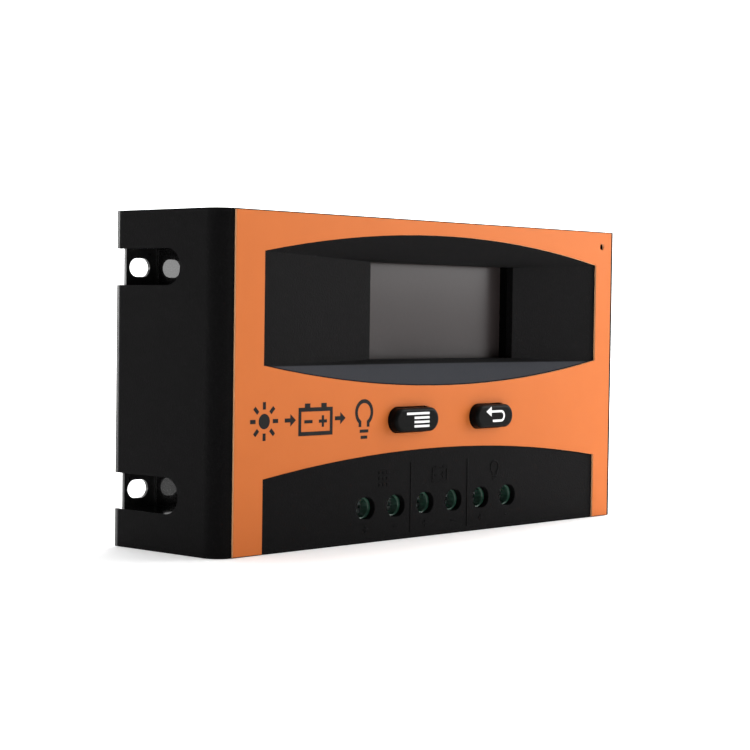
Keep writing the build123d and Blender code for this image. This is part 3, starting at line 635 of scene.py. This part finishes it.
# %% Rays of the sun
rays = Growth("printed_sun_rays", Count=8, Radius=3.55 * MM, Length=1.7 * MM, Width=INK_LINE, Height=INK_HEIGHT,
              Middle=Vector((SUN_X, LABEL_LOW.y - INK_HEIGHT / 2, PRINT_Z)))
ray = rays.bar("Length", "Height", "Width")
turn = rays.add("GeometryNodeInputIndex") * (2 * math.pi) / rays.value("Count")
spot = rays.add("ShaderNodeCombineXYZ", {}, {0: turn.sum("COSINE") * rays.value("Radius"),
                                             2: turn.sum("SINE") * rays.value("Radius")})
circle = rays.add("GeometryNodePoints", {}, {"Count": rays.value("Count"), "Position": spot})
facing = rays.add("ShaderNodeCombineXYZ", {}, {1: turn * -1.0})
facing = rays.add("FunctionNodeEulerToRotation", {}, {"Euler": facing})
placed = rays.add("GeometryNodeInstanceOnPoints", {}, {"Points": circle, "Instance": ray, "Rotation": facing})
moved = rays.add("GeometryNodeTransform", {}, {"Geometry": placed, "Translation": rays.value("Middle")})
rays.piece(moved, "case", INK)


# %% Sun, battery, lamp and arrows
def disc(marks, centre, radius):
    marks.plate(ring(centre, radius))


def arrow(marks, centre, length, width, line):
    """An arrow that points to +X."""
    tip = centre.x + length / 2
    neck = tip - width * 0.62
    half = line / 2
    corners = [(tip, 0.0), (neck, width / 2), (neck, half), (tip - length, half),
               (tip - length, -half), (neck, -half), (neck, -width / 2)]
    marks.plate([Vector((x, centre.y + z)) for x, z in corners])


def battery(marks, centre, width, height, line):
    """A battery case with its two posts and the signs beside them."""
    left, right = centre.x - width / 2, centre.x + width / 2
    low, high = centre.y - height / 2, centre.y + height / 2
    marks.strip([(left, low), (right, low), (right, high), (left, high)], line, closed=True)
    post = line * 1.9
    top = high + line / 2
    for x in (left + width * 0.24, right - width * 0.24):
        near, far = x - post / 2, x + post / 2
        corners = [(near, top), (far, top), (far, top + line), (near, top + line)]
        marks.plate([Vector(c) for c in corners])
    minus(marks, Vector((left + width * 0.27, centre.y)), width * 0.26, line * 0.8)
    plus(marks, Vector((right - width * 0.27, centre.y)), width * 0.26, line * 0.8)


def minus(marks, centre, size, line):
    marks.strip([centre - Vector((size / 2, 0.0)), centre + Vector((size / 2, 0.0))], line)


def plus(marks, centre, size, line):
    half, arm = line / 2, size / 2
    quarter = [(arm, -half), (arm, half), (half, half)]
    corners = []
    for _ in range(4):
        corners += quarter
        quarter = [(-z, x) for x, z in quarter]
    marks.plate([centre + Vector(c) for c in corners])


def lamp(marks, centre, radius, line):
    """A bulb with two rings of its cap below it."""
    glass = ring(centre, radius, -58.0, 238.0, 28)
    foot = centre.y - radius * 1.28
    marks.strip([Vector((glass[0].x, foot))] + glass + [Vector((glass[-1].x, foot))], line)
    for step in (1, 2):
        z = foot - line * 1.55 * step + line * 0.5
        half = radius * (0.56 - 0.13 * (step - 1))
        marks.strip([(centre.x - half, z), (centre.x + half, z)], line * 0.8)


printed = Marks("printed_pictograms", LABEL_LOW.y, INK_HEIGHT)
disc(printed, Vector((SUN_X, PRINT_Z)), 1.75 * MM)
battery(printed, Vector((BATTERY_X, PRINT_Z - 0.5 * MM)), 10.4 * MM, 5.6 * MM, INK_LINE)
lamp(printed, Vector((LAMP_X, PRINT_Z + 1.1 * MM)), 2.7 * MM, INK_LINE)
for x in ARROW_XS:
    arrow(printed, Vector((x, PRINT_Z)), 3.6 * MM, 2.9 * MM, INK_LINE)
printed.piece("case", INK)

# %% [markdown]
# ## Raised marks round the terminals
#
# The case itself names the terminals: small signs stand up a tenth of a millimetre in the
# moulding, black on black. A panel of cells marks the first pair, a battery the second and a
# bulb the third, with a plus and a minus under each pair and ribs between the pairs. They are
# cut into the mould, so they have the finish of the case.
#
# The cells of the panel and the ribs repeat on a grid and along a line, so geometry trees make
# them. Each tree has its sizes as named inputs.

# %% Raised marks drawn one by one
RAISED = 0.11 * MM
RAISED_LINE = 0.42 * MM
CASE_FACE_Y = LABEL_HIGH.y
SCREW_Z = sum(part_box("solar_plus_screw")[side].z for side in (0, 1)) / 2
SCREW_XS = {name: sum(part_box(name)[side].x for side in (0, 1)) / 2 for name in SCREW_NAMES}
PAIR_XS = {pair: (SCREW_XS[pair + "_plus_screw"] + SCREW_XS[pair + "_minus_screw"]) / 2
           for pair in ("solar", "battery", "load")}
SIGN_Z = SCREW_Z + 6.9 * MM
POLE_Z = SCREW_Z - 5.0 * MM
print("pairs at", {pair: round(x / MM, 1) for pair, x in PAIR_XS.items()})

raised = Marks("raised_terminal_signs", CASE_FACE_Y, RAISED, 0.05 * MM)
battery(raised, Vector((PAIR_XS["battery"], SIGN_Z - 0.2 * MM)), 5.4 * MM, 3.2 * MM, RAISED_LINE)
lamp(raised, Vector((PAIR_XS["load"], SIGN_Z + 0.7 * MM)), 1.55 * MM, RAISED_LINE)
for name, x in SCREW_XS.items():
    sign = plus if "plus" in name else minus
    sign(raised, Vector((x, POLE_Z)), 1.7 * MM, RAISED_LINE)
raised.piece("case", FINISHES["black_case"], "black_case")

# %% Cells of the panel sign
cells = Growth("raised_panel_cells", Columns=3, Rows=3, Across=1.35 * MM, Upright=1.5 * MM, Width=1.1 * MM,
               Length=0.8 * MM, Height=RAISED,
               Middle=Vector((PAIR_XS["solar"] + 1.0 * MM, CASE_FACE_Y - RAISED / 2, SIGN_Z)))
cell = cells.bar("Width", "Height", "Length")
grid_sockets = {"Size X": cells.value("Across") * (cells.value("Columns") - 1),
                "Size Y": cells.value("Upright") * (cells.value("Rows") - 1),
                "Vertices X": cells.value("Columns"), "Vertices Y": cells.value("Rows")}
grid = cells.add("GeometryNodeMeshGrid", {}, grid_sockets)
upright = cells.add("GeometryNodeTransform", {}, {"Geometry": grid, "Rotation": (math.pi / 2, 0.0, 0.0)})
placed = cells.add("GeometryNodeInstanceOnPoints", {}, {"Points": upright, "Instance": cell})
moved = cells.add("GeometryNodeTransform", {}, {"Geometry": placed, "Translation": cells.value("Middle")})
cells.piece(moved, "case", FINISHES["black_case"], "black_case")

# %% Ribs between the pairs
PAIR_PITCH = PAIR_XS["battery"] - PAIR_XS["solar"]
RIB_LOW = CASE_LOW.z + 1.4 * MM
RIB_HIGH = CASE_LOW.z + 18.6 * MM
FIRST_RIB = Vector((PAIR_XS["solar"] + PAIR_PITCH / 2, CASE_FACE_Y - RAISED / 2, (RIB_LOW + RIB_HIGH) / 2))
ribs = Growth("raised_divider_ribs", Count=2, Pitch=PAIR_PITCH, Width=RAISED_LINE, Height=RAISED,
              Length=RIB_HIGH - RIB_LOW, First=FIRST_RIB)
rib = ribs.bar("Width", "Height", "Length")
rib_step = ribs.add("ShaderNodeCombineXYZ", {}, {0: ribs.value("Pitch")})
rib_sockets = {"Count": ribs.value("Count"), "Start Location": ribs.value("First"), "Offset": rib_step}
rib_row = ribs.add("GeometryNodeMeshLine", {}, rib_sockets)
placed = ribs.add("GeometryNodeInstanceOnPoints", {}, {"Points": rib_row, "Instance": rib})
ribs.piece(placed, "case", FINISHES["black_case"], "black_case")

# %% [markdown]
# ## Solder joints on the board
#
# Each terminal pin ends in a cone of solder on the back of the board, a little wider than its
# hole. They all have one shape, so a geometry tree puts one low-sided cone on every pin, two
# for each of six terminals.

# %% Solder cones on the terminal pins
BOARD_BACK_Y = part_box("main_board")[1].y
CONTACT_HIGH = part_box("terminal_contacts")[1]
PIN_SPREAD = 3.0 * MM
PIN_Z = CONTACT_HIGH.z - 0.5 * MM
TERMINAL_PITCH = SCREW_XS["solar_minus_screw"] - SCREW_XS["solar_plus_screw"]
joints = Growth("solder_joints", Count=6, Pitch=TERMINAL_PITCH, Spread=PIN_SPREAD,
                Foot=1.15 * MM, Neck=0.62 * MM, Height=CONTACT_HIGH.y - BOARD_BACK_Y + 0.05 * MM,
                First=Vector((SCREW_XS["solar_plus_screw"], BOARD_BACK_Y, PIN_Z)))
cone_sockets = {"Vertices": 16, "Side Segments": 3, "Radius Bottom": joints.value("Foot"),
                "Radius Top": joints.value("Neck"), "Depth": joints.value("Height")}
cone = joints.add("GeometryNodeMeshCone", {}, cone_sockets)
cone = joints.add("GeometryNodeTransform", {}, {"Geometry": cone, "Rotation": (-math.pi / 2, 0.0, 0.0)})
pin_step = joints.add("ShaderNodeCombineXYZ", {}, {0: joints.value("Pitch")})
pin_sockets = {"Count": joints.value("Count"), "Start Location": joints.value("First"), "Offset": pin_step}
pin_row = joints.add("GeometryNodeMeshLine", {}, pin_sockets)
both = []
for side in (-0.5, 0.5):
    shift = joints.add("ShaderNodeCombineXYZ", {}, {0: joints.value("Spread") * side})
    both.append(joints.add("GeometryNodeTransform", {}, {"Geometry": pin_row, "Translation": shift}))
pins = joints.add("GeometryNodeJoinGeometry", {}, {0: both})
placed = joints.add("GeometryNodeInstanceOnPoints", {}, {"Points": pins, "Instance": cone})
joints.piece(placed, "case", FINISHES["tinned_metal"], "tinned_metal")

# %% [markdown]
# ## The studio
#
# The controller stands on a white table in soft light. A wide panel overhead makes the table
# bright and lights every face that looks up. A second panel at the front right lifts the label
# towards its right end. Black plastic shows almost nothing but reflections, so two more panels
# stand where its gloss needs them: one at the rear right gives the lower shelf of the display
# field its sheen, and a narrow one at the rear left shows through the mounting slots as a pale
# image in the polished end of each pocket. The room itself is dim, which keeps the blacks black.
# The table curves up into a wall behind the controller and glows a little, as a light table
# does, so that both clip to white and only a faint shadow shows where the controller stands.

# %% Table that sweeps up behind the controller
def make_sweep_finish(name):
    sweep = Finish(name, Specular_IOR_Level=0.1, Roughness=0.7, Emission_Strength=1.0)
    fibre = sweep.noise(0.02, 3.0)
    sweep.set(Base_Color=sweep.mix(fibre, grey(0.86), grey(0.89)))
    reach = sweep.add("ShaderNodeVectorMath", {"operation": "LENGTH"}, {0: sweep.place}, output="Value")
    far = sweep.between(reach, 0.25, 1.3)
    sweep.set(Emission_Color=sweep.mix(far, grey(0.25), grey(1.2)))
    return sweep.material


def around(angle, reach, level):
    """A point at a compass angle from +Y, at some reach from the middle."""
    return Vector((math.sin(angle) * reach, math.cos(angle) * reach, level))


def make_sweep(name, radius, height, bend):
    """A round table whose far side curves up into a wall."""
    mesh = bmesh.new()
    floor = CAD_LOW.z - TABLE_GAP
    rows = [(radius * i / SWEEP_ROWS, 0.0) for i in range(1, SWEEP_ROWS + 1)]
    for i in range(1, SWEEP_ROWS + 1):
        rise = math.pi / 2 * i / SWEEP_ROWS
        rows.append((radius + bend * math.sin(rise), bend * (1 - math.cos(rise))))
    rows.append((radius + bend, height))
    walled = [HEADING + WALL_HALF * (2 * i / SWEEP_STEPS - 1) for i in range(SWEEP_STEPS + 1)]
    grown = [[mesh.verts.new(around(angle, reach, floor + rise)) for angle in walled] for reach, rise in rows]
    centre = mesh.verts.new((0.0, 0.0, floor))
    for step in range(SWEEP_STEPS):
        mesh.faces.new((centre, grown[0][step + 1], grown[0][step]))
        for inner, outer in zip(grown, grown[1:]):
            mesh.faces.new((inner[step], inner[step + 1], outer[step + 1], outer[step]))
    gap = math.tau - 2 * WALL_HALF
    open_side = [HEADING + WALL_HALF + gap * i / SWEEP_STEPS for i in range(SWEEP_STEPS + 1)]
    front = [mesh.verts.new(around(angle, radius, floor)) for angle in open_side]
    for before, after in zip(front, front[1:]):
        mesh.faces.new((centre, after, before))
    bmesh.ops.remove_doubles(mesh, verts=mesh.verts, dist=0.0001)
    data = bpy.data.meshes.new(name)
    mesh.to_mesh(data)
    mesh.free()
    data.shade_smooth()
    data.materials.append(make_sweep_finish("white_sweep"))
    sweep = bpy.data.objects.new(name, data)
    bpy.context.collection.objects.link(sweep)


HEADING = math.radians(47.42)
WALL_HALF = math.radians(75.0)
SWEEP_ROWS = 12
SWEEP_STEPS = 24
TABLE_GAP = 0.05 * MM
make_sweep("table_and_backdrop", 1.2, 2.2, 0.5)
print("the sweep faces", round(math.degrees(HEADING), 1), "degrees")


# %% Lights
def add_panel(name, place, target, width, height, glow):
    """A soft rectangular light that faces a target, with its glow as radiance."""
    light = bpy.data.lights.new(name, "AREA")
    light.shape = "RECTANGLE"
    light.size = width
    light.size_y = height
    light.energy = glow * math.pi * width * height
    holder = bpy.data.objects.new(name, light)
    holder.location = place
    holder.rotation_euler = (Vector(target) - Vector(place)).to_track_quat("-Z", "Y").to_euler()
    holder.visible_camera = False
    bpy.context.collection.objects.link(holder)


MIDDLE = (CAD_LOW + CAD_HIGH) / 2
PANELS = {
    "overhead_panel": ((0.06, 0.12, 1.05), 1.2, 1.0, 2.15),
    "front_right_panel": ((0.36, -0.26, 0.20), 0.26, 0.26, 7.0),
    "rear_right_panel": ((0.70, 0.30, 0.66), 0.55, 0.45, 16.0),
    "rear_left_panel": ((-0.66, 0.66, 0.18), 0.16, 0.40, 9.0),
}
for panel, (place, width, height, glow) in PANELS.items():
    add_panel(panel, place, MIDDLE, width, height, glow)
room = bpy.data.worlds.new("dim_room")
room.use_nodes = True
room.node_tree.nodes["Background"].inputs["Color"].default_value = grey(1.0)
room.node_tree.nodes["Background"].inputs["Strength"].default_value = 0.16
bpy.context.scene.world = room
bpy.context.scene.view_settings.view_transform = "Standard"

# %% [markdown]
# ## The camera
#
# A product camera stands low, a little above the middle of the box, and looks at its left
# front corner with a long lens, so that the label, the side and the pockets all show. It is
# placed by where it stands, which way it looks and how far it leans, as a tripod is.

# %% Camera
CAMERA_PLACE = Vector((-0.3649, -0.3294, 0.0555))
DIP = math.radians(1.89)
LEAN = math.radians(0.78)
LENS = 92.7

ahead = Vector((math.sin(HEADING) * math.cos(DIP), math.cos(HEADING) * math.cos(DIP), -math.sin(DIP)))
level_right = Vector((math.cos(HEADING), -math.sin(HEADING), 0.0))
level_up = level_right.cross(ahead)
right = level_right * math.cos(LEAN) + level_up * math.sin(LEAN)
up = level_up * math.cos(LEAN) - level_right * math.sin(LEAN)
camera_data = bpy.data.cameras.new("camera")
camera_data.lens = LENS
camera_data.sensor_width = 36.0
camera_data.clip_start = 0.01
camera = bpy.data.objects.new("camera", camera_data)
turned = Matrix((right, up, -ahead)).transposed().to_4x4()
camera.matrix_world = Matrix.Translation(CAMERA_PLACE) @ turned
bpy.context.collection.objects.link(camera)
bpy.context.scene.camera = camera
print("camera looks along", [round(c, 3) for c in ahead])
